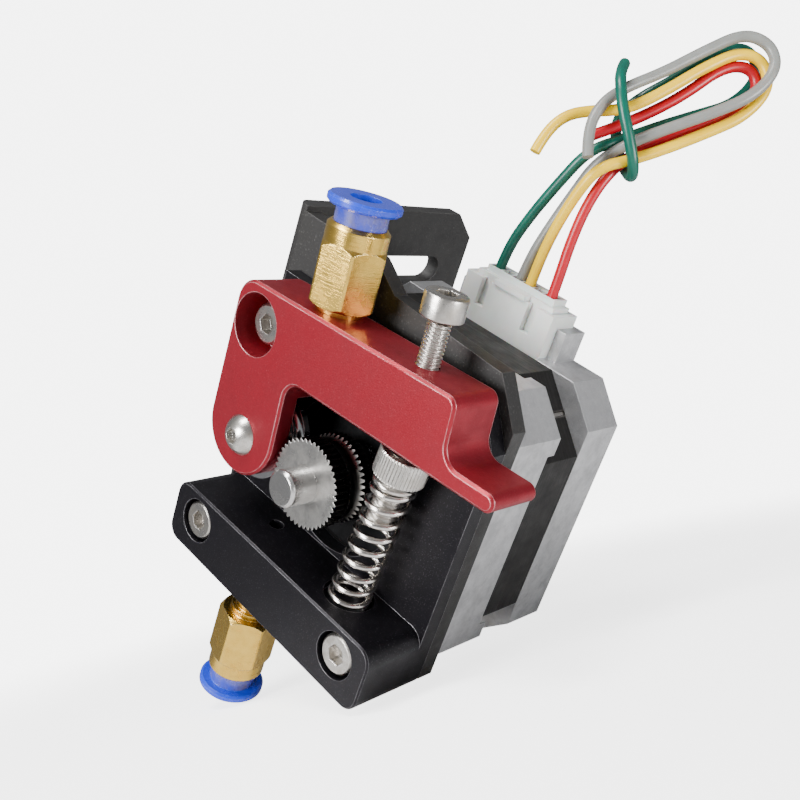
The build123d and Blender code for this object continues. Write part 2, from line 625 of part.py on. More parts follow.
def hank():
    """Outer shape of the folded, knotted leads."""
    sections = []
    for along, offset, half_width, half_thick in HANK_SHAPE:
        centre = HANK_START + HANK_ALONG * along + HANK_ACROSS * offset
        plane = Plane(origin=centre, x_dir=HANK_ACROSS, z_dir=HANK_ALONG)
        sections.append(plane * Ellipse(half_width, half_thick))
    return loft(sections)


# ---- build and export ------------------------------------------------------------------
def parts():
    bearing_outer, bearing_inner, bearing_balls = bearing_rings()
    idler_outer, idler_inner, idler_balls = idler_rings()
    made = {
        "motor_front_bell": front_bell(),
        "stator_stack": stator_stack(),
        "stator_windings": stator_windings(),
        "motor_rear_bell": rear_bell(),
        "case_screws": case_screws(),
        "motor_bearing_outer_rings": bearing_outer,
        "motor_bearing_inner_rings": bearing_inner,
        "motor_bearing_balls": bearing_balls,
        "bearing_wave_washer": ring_y((REAR_SEAT[1], REAR_SEAT[1] + WASHER - 0.05), 4.4, BEARING_R - 0.1),
        "motor_shaft": motor_shaft(),
        "rotor_cup_front": rotor_cup((8.0, 10.6)),
        "rotor_magnet": ring_y((10.6, 12.2), SHAFT_R, 10.6),
        "rotor_cup_rear": rotor_cup((12.2, 14.8)),
        "header_housing": header_housing(),
        "header_pins": header_pins(),
        "plug_housing": plug_housing(),
        "plug_contacts": plug_contacts(),
        "mount_bracket": mount_bracket(),
        "base_block": base_block(),
        "block_screws": block_screws(),
        "plate_screw": plate_screw(),
        "pivot_screw": pivot_screw(),
        "pivot_shim": pivot_shim(),
        "idler_lever": lever(),
        "idler_screw": idler_screw(),
        "idler_bush": idler_bush(),
        "idler_outer_ring": idler_outer,
        "idler_inner_ring": idler_inner,
        "idler_balls": idler_balls,
        "drive_gear": drive_gear(),
        "gear_set_screw": gear_set_screw(),
        "adjust_screw": adjust_screw(),
        "guide_screw": guide_screw(),
        "lever_spring": spring(),
        "inlet_body": inlet(fitting_body(0)),
        "inlet_seal": inlet(fitting_seal(0)),
        "inlet_collet": inlet(fitting_collet(0)),
        "outlet_body": outlet(fitting_body(EXPOSED_THREAD)),
        "outlet_seal": outlet(fitting_seal(EXPOSED_THREAD)),
        "outlet_collet": outlet(fitting_collet(EXPOSED_THREAD)),
        "lead_hank": hank(),
    }
    for name in LEADS:
        made["lead_" + name] = tube(lead_route(name), LEAD_R)
    for name, points in LOOSE_ENDS.items():
        made["loose_end_" + name] = tube(points, LEAD_R)
    return made


os.makedirs("parts", exist_ok=True)
for node, shape in parts().items():
    moved = Pos(-ORIGIN[0], -ORIGIN[1], -ORIGIN[2]) * shape
    export_step(moved, os.path.join("parts", node + ".step"))
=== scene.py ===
import math

import bmesh
import bpy
from mathutils import Matrix, Vector


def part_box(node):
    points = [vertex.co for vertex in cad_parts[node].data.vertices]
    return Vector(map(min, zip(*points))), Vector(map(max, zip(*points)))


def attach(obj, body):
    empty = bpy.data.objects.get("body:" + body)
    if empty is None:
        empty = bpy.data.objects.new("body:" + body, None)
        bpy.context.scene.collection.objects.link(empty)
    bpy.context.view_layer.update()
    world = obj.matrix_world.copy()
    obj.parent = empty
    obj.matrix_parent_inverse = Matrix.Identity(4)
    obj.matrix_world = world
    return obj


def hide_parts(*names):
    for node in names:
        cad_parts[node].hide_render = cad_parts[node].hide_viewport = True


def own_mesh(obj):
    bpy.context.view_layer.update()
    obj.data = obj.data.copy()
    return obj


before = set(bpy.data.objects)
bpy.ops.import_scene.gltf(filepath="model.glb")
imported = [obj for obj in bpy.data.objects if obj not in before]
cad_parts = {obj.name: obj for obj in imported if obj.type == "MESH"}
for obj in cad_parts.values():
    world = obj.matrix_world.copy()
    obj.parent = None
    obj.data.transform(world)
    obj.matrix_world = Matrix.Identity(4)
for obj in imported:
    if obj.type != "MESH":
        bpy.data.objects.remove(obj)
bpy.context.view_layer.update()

# ---- camera ----------------------------------------------------------------------------
# A close view of the drive from in front, on the thumb tab's side, and from a little above.
CAMERA_RIGHT = Vector((0.68148, 0.66753, 0.29997))
CAMERA_UP = Vector((-0.48264, 0.10183, 0.86988))
camera_data = bpy.data.cameras.new("camera")
camera_data.lens = 45.08
camera_data.sensor_width = 36
camera_data.shift_x = -0.0338
camera_data.shift_y = 0.0029
camera_data.clip_start = 0.005
camera = bpy.data.objects.new("camera", camera_data)
bpy.context.scene.collection.objects.link(camera)
camera_back = CAMERA_RIGHT.cross(CAMERA_UP)
turned = Matrix((CAMERA_RIGHT, CAMERA_UP, camera_back)).transposed().to_4x4()
camera.matrix_world = Matrix.Translation((0.102924, -0.115279, 0.060766)) @ turned
bpy.context.scene.camera = camera

# ---- four motor leads ------------------------------------------------------------------
# Stranded copper in coloured soft plastic, 1.5 mm thick. They rise out of the plug and are
# folded back on themselves into one hank, with two ends sticking out of its knot.
LEAD_WIDTH = 0.0015
PLUG_Y, PLUG_Z = 18.75, 26.5
SHAFT_X, SHAFT_Y, SHAFT_Z = 25.5, -19.0, -4.3
HANK_START = Vector((3.1, 20.6, 50.1))
HANK_ALONG = Vector((0.435, 0.654, 0.619))
HANK_ACROSS = Vector((-0.712, -0.169, 0.681))
HANK_FRONT = Vector((0.55, -0.738, 0.392))


def at(x, y, z):
    """A place given in millimetres from the motor's axis at its front face, in the frame."""
    return Vector((x + SHAFT_X, y + SHAFT_Y, z + SHAFT_Z)) / 1000


def in_hank(along, across, front):
    """A place in the hank, in millimetres along it, across it and towards its front."""
    return at(*(HANK_START + HANK_ALONG * along + HANK_ACROSS * across + HANK_FRONT * front))


def start_material(name, **sockets):
    """A new material and its shader, with the plain values that are the same all over."""
    material = bpy.data.materials.new(name)
    material.use_nodes = True
    shader = material.node_tree.nodes["Principled BSDF"]
    for socket, value in sockets.items():
        shader.inputs[socket.replace("_", " ")].default_value = value
    return material, shader


def place_node(material, kind, **values):
    """One node in a material, or in a group, with its inputs set by name."""
    tree = getattr(material, "node_tree", None) or material
    node = tree.nodes.new(kind)
    for name, value in values.items():
        node.inputs[name.replace("_", " ")].default_value = value
    return node


def insulation(name, light, dark):
    """Soft plastic: slightly uneven colour, faint waviness from the extruder."""
    material, shader = start_material(name, Roughness=0.34, IOR=1.5, Subsurface_Weight=0.06)
    links = material.node_tree.links
    coordinates = place_node(material, "ShaderNodeTexCoord")
    mottle = place_node(material, "ShaderNodeTexNoise", Scale=420.0, Detail=3.0)
    mix = place_node(material, "ShaderNodeMix")
    mix.data_type = "RGBA"
    mix.inputs[6].default_value = dark
    mix.inputs[7].default_value = light
    bump = place_node(material, "ShaderNodeBump", Strength=0.35, Distance=0.00004)
    links.new(coordinates.outputs["Object"], mottle.inputs["Vector"])
    links.new(mottle.outputs["Fac"], mix.inputs["Factor"])
    links.new(mix.outputs[2], shader.inputs["Base Color"])
    links.new(mottle.outputs["Fac"], bump.inputs["Height"])
    links.new(bump.outputs["Normal"], shader.inputs["Normal"])
    return material


def smooth_line(name, points, width, material):
    """A round line along one smooth spline through given points."""
    curve = bpy.data.curves.new(name, "CURVE")
    curve.dimensions = "3D"
    curve.resolution_u = 10
    curve.bevel_depth = width / 2
    curve.bevel_resolution = 5
    curve.use_fill_caps = True
    spline = curve.splines.new("NURBS")
    spline.points.add(len(points) - 1)
    for point, place in zip(spline.points, points):
        point.co = (*place, 1.0)
    spline.order_u = 3
    spline.use_endpoint_u = True
    curve.materials.append(material)
    line = bpy.data.objects.new(name, curve)
    bpy.context.scene.collection.objects.link(line)
    return line


lead_colours = {
    "green": ((0.0, 0.115, 0.075, 1), (0.0, 0.06, 0.045, 1)),
    "grey": ((0.25, 0.25, 0.235, 1), (0.17, 0.17, 0.16, 1)),
    "yellow": ((0.95, 0.62, 0.0, 1), (0.80, 0.44, 0.0, 1)),
    "red": ((0.56, 0.0, 0.012, 1), (0.36, 0.0, 0.01, 1)),
}
# Each lead: its rise from the plug, its folds in the hank, and its loose end.
lead_rise = {
    "green": [(-3.9, PLUG_Y, PLUG_Z), (-3.8, 18.75, 31.6), (-2.1, 18.9, 37.2), (0.2, 19.1, 42.8)],
    "grey": [(0.1, PLUG_Y, PLUG_Z), (0.3, 18.8, 31.6), (1.2, 19.5, 37.0), (2.4, 20.3, 42.4)],
    "yellow": [(2.1, PLUG_Y, PLUG_Z), (2.1, 18.6, 31.4), (2.7, 18.4, 36.8), (3.8, 18.5, 42.2)],
    "red": [(6.1, PLUG_Y, PLUG_Z), (6.0, 18.8, 31.2), (5.5, 19.1, 36.6), (5.4, 19.7, 41.8)],
}
lead_folds = {
    "green": [(-1.8, -0.6, -0.2), (3.0, -0.9, -0.9), (8.5, -1.2, -1.3), (14.0, -1.7, -2.0),
              (19.0, -2.2, -2.6), (23.2, -0.7, -2.7), (24.4, 2.0, -2.1), (22.6, 4.5, -1.3), (17.6, 4.4, -0.9),
              (12.0, 3.6, -0.8), (7.4, 3.3, -1.2), (4.0, 2.4, -2.6), (2.6, -1.0, -3.4),
              (2.2, -4.6, -2.7), (2.0, -6.4, -0.2), (2.2, -5.2, 2.4), (2.8, -1.8, 3.4),
              (3.4, 1.8, 3.8), (4.4, 4.9, 3.6), (5.6, 6.9, 2.0), (7.0, 8.0, 0.4)],
    "grey": [(-1.0, -2.2, -1.2), (4.0, -2.0, 0.9), (9.5, -2.4, 1.2), (14.8, -2.9, 1.8), (20.2, -3.0, 2.1),
             (24.6, -1.0, 1.8), (25.4, 2.4, 1.3), (22.8, 5.3, 1.1), (17.2, 5.2, 0.9),
             (11.0, 4.7, 1.1), (5.6, 4.8, 1.5), (1.6, 4.0, 2.2), (-1.6, 1.4, 2.6),
             (-3.0, -1.9, 2.9)],
    "yellow": [(-1.9, -3.4, 1.5), (2.6, -4.2, 0.8), (8.0, -4.6, 0.4), (13.6, -4.8, 0.5), (18.6, -4.8, 0.6),
               (23.2, -2.8, 0.4), (24.2, 1.0, 0.2), (21.6, 3.4, 0.4), (16.2, 3.2, 0.9),
               (10.6, 2.4, 1.1), (5.6, 2.1, 1.1), (2.6, 2.9, 0.8)],
    "red": [(-0.9, -4.6, -0.6), (3.6, -3.1, -1.5), (9.0, -3.1, -0.9), (14.0, -3.4, -0.8), (18.4, -3.3, -0.9),
            (22.5, -2.2, -1.1), (22.8, 1.1, -0.9), (19.2, 2.6, -0.5), (13.0, 1.2, -0.5),
            (7.6, 0.8, -0.6), (2.8, 0.9, -0.7), (-0.8, 1.2, -0.9)],
}
lead_ends = {
    "yellow": [(0.6, 20.4, 53.3), (-1.5, 18.0, 51.8), (-2.3, 16.0, 49.0), (-2.0, 14.7, 46.2)],
}
for colour, (light, dark) in lead_colours.items():
    plastic = insulation("insulation_" + colour, light, dark)
    points = [at(*p) for p in lead_rise[colour]] + [in_hank(*p) for p in lead_folds[colour]]
    points += [at(*p) for p in lead_ends.get(colour, [])]
    lead = smooth_line("wire_" + colour, points, LEAD_WIDTH, plastic)
    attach(lead, "motor_and_block")
    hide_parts("lead_" + colour)
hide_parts("loose_end_green", "lead_hank")
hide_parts("loose_end_yellow", "lead_hank")

# ---- floor and light -------------------------------------------------------------------
# The unit lies on the rim of its lower fitting and on the block's lower edge, so the floor
# passes through those two. It is a matt pale sheet that can't be seen from underneath, glows for
# the camera alone, and fades out into the backdrop.
FLOOR_RADIUS = 0.6
FLOOR_GLOW = 2.9
FADE_FROM, FADE_TO = 0.07, 0.17
SKY_STRENGTH, BACKDROP_STRENGTH = 0.34, 6.0
LIT_SPOT = Vector((0.02, -0.01, 0))
collet_low, collet_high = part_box("outlet_collet")
block_low, block_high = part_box("base_block")
rim = Vector((collet_high.x, 0, collet_low.z))
edge = Vector((block_high.x, 0, block_low.z))
slope = math.atan2(edge.z - rim.z, edge.x - rim.x)
floor_mesh = bmesh.new()
bmesh.ops.create_circle(floor_mesh, cap_ends=True, segments=96, radius=FLOOR_RADIUS)
bmesh.ops.transform(floor_mesh, verts=floor_mesh.verts,
                    matrix=Matrix.Translation(edge) @ Matrix.Rotation(-slope, 4, "Y"))
floor_data = bpy.data.meshes.new("floor")
floor_mesh.to_mesh(floor_data)
floor = bpy.data.objects.new("floor", floor_data)
bpy.context.scene.collection.objects.link(floor)
floor_paint, floor_shader = start_material("floor_paint", Roughness=0.9, Base_Color=(0.93, 0.93, 0.93, 1))
floor_shader.inputs["Specular IOR Level"].default_value = 0.1
geometry = place_node(floor_paint, "ShaderNodeNewGeometry")
clear = place_node(floor_paint, "ShaderNodeBsdfTransparent")
either = place_node(floor_paint, "ShaderNodeMixShader")
floor_shader.inputs["Emission Color"].default_value = (1, 1, 1, 1)
glow = place_node(floor_paint, "ShaderNodeLightPath")
glow_strength = place_node(floor_paint, "ShaderNodeMath")
glow_strength.operation = "MULTIPLY"
glow_strength.inputs[1].default_value = FLOOR_GLOW
spot = place_node(floor_paint, "ShaderNodeTexCoord")
centred = place_node(floor_paint, "ShaderNodeMapping")
centred.inputs["Location"].default_value = -edge
reach = place_node(floor_paint, "ShaderNodeVectorMath")
reach.operation = "LENGTH"
fade = place_node(floor_paint, "ShaderNodeMapRange", From_Min=FADE_FROM, From_Max=FADE_TO)
fade.interpolation_type = "SMOOTHSTEP"
worn_out = place_node(floor_paint, "ShaderNodeMath")
worn_out.operation = "MAXIMUM"
floor_links = floor_paint.node_tree.links
floor_links.new(glow.outputs["Is Camera Ray"], glow_strength.inputs[0])
floor_links.new(glow_strength.outputs[0], floor_shader.inputs["Emission Strength"])
floor_links.new(spot.outputs["Object"], centred.inputs["Vector"])
floor_links.new(centred.outputs[0], reach.inputs[0])
floor_links.new(reach.outputs["Value"], fade.inputs["Value"])
floor_links.new(fade.outputs[0], worn_out.inputs[0])
floor_links.new(geometry.outputs["Backfacing"], worn_out.inputs[1])
floor_links.new(worn_out.outputs[0], either.inputs[0])
floor_links.new(floor_shader.outputs[0], either.inputs[1])
floor_links.new(clear.outputs[0], either.inputs[2])
floor_links.new(either.outputs[0], floor_paint.node_tree.nodes["Material Output"].inputs["Surface"])
floor_data.materials.append(floor_paint)

world = bpy.data.worlds.new("studio")
world.use_nodes = True
bpy.context.scene.world = world
sky = world.node_tree.nodes["Background"]
sky.inputs["Color"].default_value = (0.80, 0.81, 0.83, 1)
sky.inputs["Strength"].default_value = SKY_STRENGTH
backdrop = world.node_tree.nodes.new("ShaderNodeBackground")
backdrop.inputs["Color"].default_value = (1, 1, 1, 1)
backdrop.inputs["Strength"].default_value = BACKDROP_STRENGTH
seen = world.node_tree.nodes.new("ShaderNodeLightPath")
which = world.node_tree.nodes.new("ShaderNodeMixShader")
world_links = world.node_tree.links
world_links.new(seen.outputs["Is Camera Ray"], which.inputs[0])
world_links.new(sky.outputs[0], which.inputs[1])
world_links.new(backdrop.outputs[0], which.inputs[2])
world_links.new(which.outputs[0], world.node_tree.nodes["World Output"].inputs["Surface"])


def soft_light(name, place, size, power):
    """A square softbox that faces the motor."""
    data = bpy.data.lights.new(name, "AREA")
    data.size = size
    data.energy = power
    lamp = bpy.data.objects.new(name, data)
    lamp.location = place
    lamp.rotation_mode = "QUATERNION"
    lamp.rotation_quaternion = (LIT_SPOT - Vector(place)).to_track_quat("-Z", "Y")
    bpy.context.scene.collection.objects.link(lamp)


soft_light("key", (-0.14, -0.20, 0.30), 0.14, 1.6)
soft_light("side", (0.36, 0.02, 0.14), 0.14, 1.7)
soft_light("front", (-0.04, -0.38, 0.06), 0.16, 2.4)

# ---- motor -----------------------------------------------------------------------------
# A thin stepper motor: two cast and faced aluminium bells clamp a stack of varnished steel
# laminations with four long screws. The shaft runs in a ball bearing in each bell.


def group_tree(name, inputs, outputs):
    """An empty node group with its named inputs and outputs."""
    tree = bpy.data.node_groups.new(name, "ShaderNodeTree")
    for socket, kind, value in inputs:
        made = tree.interface.new_socket(name=socket, in_out="INPUT", socket_type="NodeSocket" + kind)
        made.default_value = value
    for socket, kind in outputs:
        tree.interface.new_socket(name=socket, in_out="OUTPUT", socket_type="NodeSocket" + kind)
    return tree, tree.nodes.new("NodeGroupInput"), tree.nodes.new("NodeGroupOutput")


def spread(tree, value, low, high):
    """Stretches a value from low..high to 0..1."""
    node = place_node(tree, "ShaderNodeMapRange", From_Min=low, From_Max=high)
    tree.links.new(value, node.inputs["Value"])
    return node.outputs[0]


def times(tree, first, second):
    node = tree.nodes.new("ShaderNodeMath")
    node.operation = "MULTIPLY"
    tree.links.new(first, node.inputs[0])
    tree.links.new(second, node.inputs[1])
    return node.outputs[0]


def blend_colour(tree, share, low, high):
    node = tree.nodes.new("ShaderNodeMix")
    node.data_type = "RGBA"
    tree.links.new(share, node.inputs[0])
    tree.links.new(low, node.inputs[6])
    tree.links.new(high, node.inputs[7])
    return node.outputs[2]


worked, given, result = group_tree(
    "worked_surface",
    [("Base", "Color", (0.5, 0.5, 0.5, 1)), ("Stain", "Color", (0.4, 0.4, 0.4, 1)),
     ("Edge", "Color", (0.8, 0.8, 0.8, 1)), ("Speck", "Color", (0.9, 0.9, 0.9, 1)),
     ("Stain Scale", "Float", 300.0), ("Grain Scale", "Float", 2500.0),
     ("Grain Stretch", "Vector", (1, 1, 1)), ("Grain Depth", "Float", 0.00001),
     ("Edge Width", "Float", 0.00018), ("Edge Amount", "Float", 0.6),
     ("Speck Amount", "Float", 0.2), ("Smooth", "Float", 0.3), ("Coarse", "Float", 0.5)],
    [("Color", "Color"), ("Roughness", "Float"), ("Normal", "Vector")])
coordinates = worked.nodes.new("ShaderNodeTexCoord")
stain = place_node(worked, "ShaderNodeTexNoise", Detail=5.0, Roughness=0.62)
worked.links.new(coordinates.outputs["Object"], stain.inputs["Vector"])
worked.links.new(given.outputs["Stain Scale"], stain.inputs["Scale"])
stretched = worked.nodes.new("ShaderNodeVectorMath")
stretched.operation = "MULTIPLY"
worked.links.new(coordinates.outputs["Object"], stretched.inputs[0])
worked.links.new(given.outputs["Grain Stretch"], stretched.inputs[1])
grain = place_node(worked, "ShaderNodeTexNoise", Detail=3.0, Roughness=0.6)
worked.links.new(stretched.outputs[0], grain.inputs["Vector"])
worked.links.new(given.outputs["Grain Scale"], grain.inputs["Scale"])
rounded = worked.nodes.new("ShaderNodeBevel")
rounded.samples = 4
worked.links.new(given.outputs["Edge Width"], rounded.inputs["Radius"])
flat = worked.nodes.new("ShaderNodeNewGeometry")
facing = worked.nodes.new("ShaderNodeVectorMath")
facing.operation = "DOT_PRODUCT"
worked.links.new(rounded.outputs[0], facing.inputs[0])
worked.links.new(flat.outputs["Normal"], facing.inputs[1])
corner = spread(worked, facing.outputs["Value"], 0.985, 0.86)
rubbed = times(worked, corner, spread(worked, stain.outputs["Fac"], 0.30, 0.55))
edge_share = times(worked, rubbed, given.outputs["Edge Amount"])
stain_share = spread(worked, stain.outputs["Fac"], 0.36, 0.66)
speck_share = times(worked, spread(worked, grain.outputs["Fac"], 0.60, 0.72), given.outputs["Speck Amount"])
paint = blend_colour(worked, stain_share, given.outputs["Base"], given.outputs["Stain"])
paint = blend_colour(worked, speck_share, paint, given.outputs["Speck"])
paint = blend_colour(worked, edge_share, paint, given.outputs["Edge"])
worked.links.new(paint, result.inputs["Color"])
sheen = worked.nodes.new("ShaderNodeMix")
worked.links.new(stain_share, sheen.inputs[0])
worked.links.new(given.outputs["Smooth"], sheen.inputs[2])
worked.links.new(given.outputs["Coarse"], sheen.inputs[3])
worked.links.new(sheen.outputs[0], result.inputs["Roughness"])
pits = place_node(worked, "ShaderNodeBump", Strength=1.0)
worked.links.new(grain.outputs["Fac"], pits.inputs["Height"])
worked.links.new(given.outputs["Grain Depth"], pits.inputs["Distance"])
worked.links.new(rounded.outputs[0], pits.inputs["Normal"])
worked.links.new(pits.outputs[0], result.inputs["Normal"])


def worked_metal(name, base, stain_colour, edge_colour, metallic, coat=0.0, transmission=0.0, **values):
    """A finish from the shared worked surface, with this metal's own values."""
    material, shader = start_material(name, Metallic=metallic, Coat_Weight=coat)
    shader.inputs["Transmission Weight"].default_value = transmission
    group = material.node_tree.nodes.new("ShaderNodeGroup")
    group.node_tree = worked
    for socket, colour in (("Base", base), ("Stain", stain_colour), ("Edge", edge_colour)):
        group.inputs[socket].default_value = (*colour, 1)
    for socket, value in values.items():
        group.inputs[socket.replace("_", " ")].default_value = value
    for socket, target in (("Color", "Base Color"), ("Roughness", "Roughness"), ("Normal", "Normal")):
        material.node_tree.links.new(group.outputs[socket], shader.inputs[target])
    return material


def finish_node(material):
    """The node that holds a material's worked surface."""
    return next(node for node in material.node_tree.nodes if node.type == "GROUP")


def painted_shade(material, share, darkest):
    """Paints shade: blends the finish towards a dark tone where the share falls to 0."""
    links = material.node_tree.links
    tone = place_node(material, "ShaderNodeMix")
    tone.data_type = "RGBA"
    tone.inputs[6].default_value = (*darkest, 1)
    links.new(share, tone.inputs[0])
    links.new(finish_node(material).outputs["Color"], tone.inputs[7])
    links.new(tone.outputs[2], material.node_tree.nodes["Principled BSDF"].inputs["Base Color"])


def dress(material, *nodes):
    """Gives CAD pieces their finish."""
    for name in nodes:
        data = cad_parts[name].data
        data.materials.clear()
        data.materials.append(material)


CAST_COLOURS = ((0.62, 0.62, 0.63), (0.44, 0.44, 0.45), (0.88, 0.88, 0.88))
CAST_FINISH = dict(Stain_Scale=420.0, Grain_Scale=3200.0, Grain_Depth=0.00002, Speck_Amount=0.35,
                   Smooth=0.36, Coarse=0.52)
# Painted shade: the pilot is darkened to near black in front of the first of these, and the bell keeps its
# own colour behind the second.
SHADE_PAINTED_TO_Y, OWN_COLOUR_FROM_Y = -0.0197, -0.0192
cast_aluminium = worked_metal("cast_aluminium", *CAST_COLOURS, 0.75, **CAST_FINISH)
laminations = worked_metal("laminations", (0.011, 0.010, 0.009), (0.006, 0.005, 0.005),
                           (0.09, 0.08, 0.07), 0.4,
                           Grain_Scale=2200.0, Grain_Stretch=(0.03, 1.0, 0.03), Grain_Depth=0.00006,
                           Speck=(0.05, 0.044, 0.038, 1), Speck_Amount=0.4, Smooth=0.44, Coarse=0.58)
ground_steel = worked_metal("ground_steel", (0.62, 0.61, 0.60), (0.46, 0.45, 0.44), (0.85, 0.85, 0.84), 1.0,
                            Grain_Scale=4000.0, Grain_Stretch=(1.0, 0.08, 1.0), Grain_Depth=0.000004,
                            Speck_Amount=0.1, Smooth=0.20, Coarse=0.32)
bearing_steel = worked_metal("bearing_steel", (0.72, 0.72, 0.73), (0.60, 0.60, 0.61), (0.90, 0.90, 0.90), 1.0,
                             Grain_Scale=5000.0, Grain_Depth=0.000002, Speck_Amount=0.05,
                             Smooth=0.10, Coarse=0.18)
sintered = worked_metal("sintered_magnet", (0.10, 0.10, 0.11), (0.06, 0.06, 0.06), (0.22, 0.22, 0.22), 0.4,
                        Grain_Scale=4200.0, Grain_Depth=0.00003, Speck_Amount=0.1, Smooth=0.5, Coarse=0.7)
copper = worked_metal("enamelled_copper", (0.72, 0.30, 0.12), (0.50, 0.18, 0.06),
                      (0.90, 0.48, 0.25), 1.0, coat=0.6,
                      Grain_Scale=2600.0, Grain_Stretch=(1.0, 0.2, 1.0), Grain_Depth=0.00006,
                      Smooth=0.2, Coarse=0.3)
# Painted shade: the front bell's pilot, in front of the motor face, is darkened to near black as if it lay in
# shadow.
shaded_front_bell = worked_metal("front_bell_painted_shade", *CAST_COLOURS, 0.75, **CAST_FINISH)
pilot_place = place_node(shaded_front_bell, "ShaderNodeTexCoord")
pilot_depth = place_node(shaded_front_bell, "ShaderNodeSeparateXYZ")
shaded_front_bell.node_tree.links.new(pilot_place.outputs["Object"], pilot_depth.inputs[0])
unshaded_share = spread(shaded_front_bell.node_tree, pilot_depth.outputs["Y"], SHADE_PAINTED_TO_Y, OWN_COLOUR_FROM_Y)
painted_shade(shaded_front_bell, unshaded_share, (0.012, 0.012, 0.013))
dress(shaded_front_bell, "motor_front_bell")
dress(cast_aluminium, "motor_rear_bell")
dress(laminations, "stator_stack", "rotor_cup_front", "rotor_cup_rear")
dress(ground_steel, "motor_shaft")
dress(bearing_steel, "motor_bearing_outer_rings", "motor_bearing_inner_rings", "motor_bearing_balls",
      "bearing_wave_washer")
dress(sintered, "rotor_magnet")
dress(copper, "stator_windings")

# ---- screws ----------------------------------------------------------------------------
# Nickel-plated steel cap screws. Their sockets are punched and their heads turned.
plated_steel = worked_metal("plated_screw_steel", (0.63, 0.61, 0.58), (0.42, 0.39, 0.35),
                            (0.88, 0.86, 0.83), 1.0,
                            Stain_Scale=700.0, Grain_Scale=4200.0, Grain_Depth=0.000008, Edge_Amount=0.7,
                            Speck_Amount=0.15, Smooth=0.22, Coarse=0.38)
dress(plated_steel, "case_screws", "block_screws", "plate_screw", "pivot_screw", "pivot_shim", "idler_screw",
      "idler_bush", "adjust_screw", "guide_screw")

# ---- header and plug -------------------------------------------------------------------
# Milky moulded nylon with tinned pins and crimped contacts inside.
nylon = worked_metal("milky_nylon", (0.86, 0.86, 0.83), (0.78, 0.78, 0.75),
                     (0.95, 0.95, 0.93), 0.0, transmission=0.12,
                     Stain_Scale=260.0, Grain_Scale=2400.0, Grain_Depth=0.000006, Speck_Amount=0.1,
                     Smooth=0.30, Coarse=0.42)
nylon.node_tree.nodes["Principled BSDF"].inputs["Subsurface Weight"].default_value = 0.25
nylon.node_tree.nodes["Principled BSDF"].inputs["Subsurface Scale"].default_value = 0.002
tinned = worked_metal("tinned_contact", (0.72, 0.71, 0.68), (0.58, 0.57, 0.54), (0.9, 0.9, 0.88), 1.0,
                      Smooth=0.18, Coarse=0.3)
dress(nylon, "header_housing", "plug_housing")
dress(tinned, "header_pins", "plug_contacts")

# ---- mounting bracket ------------------------------------------------------------------
# Folded 2.5 mm steel sheet in a thin charcoal paint, rubbed along its sheared edges.
charcoal_paint = worked_metal("charcoal_paint", (0.026, 0.025, 0.024), (0.016, 0.015, 0.015),
                              (0.16, 0.155, 0.15), 0.15,
                              Stain_Scale=180.0, Grain_Scale=3600.0, Grain_Depth=0.00003, Edge_Amount=0.65,
                              Speck=(0.16, 0.16, 0.15, 1), Speck_Amount=0.35, Smooth=0.42, Coarse=0.58)
dress(charcoal_paint, "mount_bracket")

# ---- base block ------------------------------------------------------------------------
# Milled aluminium, anodised black: the coating has a faint lilac sheen and bright nicked edges.
black_anodised = worked_metal("black_anodised", (0.008, 0.007, 0.010), (0.005, 0.004, 0.006),
                              (0.50, 0.49, 0.52), 0.55,
                              Stain_Scale=240.0, Grain_Scale=5200.0, Grain_Depth=0.000012, Edge_Width=0.00012,
                              Edge_Amount=0.7, Speck=(0.24, 0.23, 0.26, 1), Speck_Amount=0.3,
                              Smooth=0.30, Coarse=0.42)
dress(black_anodised, "base_block")

# ---- idler lever and idler -------------------------------------------------------------
# Milled aluminium, bead-blasted and anodised red, with its chamfers cut after the coating.
# It turns on the long cap screw and carries the ball bearing that presses the filament.
red_anodised = worked_metal("red_anodised", (0.31, 0.014, 0.026), (0.23, 0.010, 0.019),
                            (0.95, 0.56, 0.58), 0.6,
                            Stain_Scale=260.0, Grain_Scale=6500.0, Grain_Depth=0.000022, Edge_Width=0.0002,
                            Edge_Amount=1.0, Speck=(0.52, 0.10, 0.12, 1), Speck_Amount=0.35,
                            Smooth=0.36, Coarse=0.48)
dress(red_anodised, "idler_lever")
dress(bearing_steel, "idler_outer_ring", "idler_inner_ring", "idler_balls")

# ---- drive gear ------------------------------------------------------------------------
# Turned and hobbed steel with a groove that grips the filament, held by a set screw.
gear_steel = worked_metal("gear_steel", (0.60, 0.59, 0.57), (0.42, 0.41, 0.39), (0.86, 0.85, 0.83), 1.0,
                          Stain_Scale=600.0, Grain_Scale=4400.0, Grain_Stretch=(1.0, 0.3, 1.0),
                          Grain_Depth=0.00001, Edge_Amount=0.6, Smooth=0.26, Coarse=0.40)
# Painted shade: the steel is darkened to near black wherever it faces sideways from the shaft, which is the
# gear's toothed rim and much of its set screw.
gear_place = place_node(gear_steel, "ShaderNodeTexCoord")
gear_facing = place_node(gear_steel, "ShaderNodeSeparateXYZ")
gear_steel.node_tree.links.new(gear_place.outputs["Normal"], gear_facing.inputs[0])
gear_square = times(gear_steel.node_tree, gear_facing.outputs["Y"], gear_facing.outputs["Y"])
painted_shade(gear_steel, spread(gear_steel.node_tree, gear_square, 0.1, 0.7), (0.035, 0.034, 0.033))
dress(gear_steel, "drive_gear", "gear_set_screw")

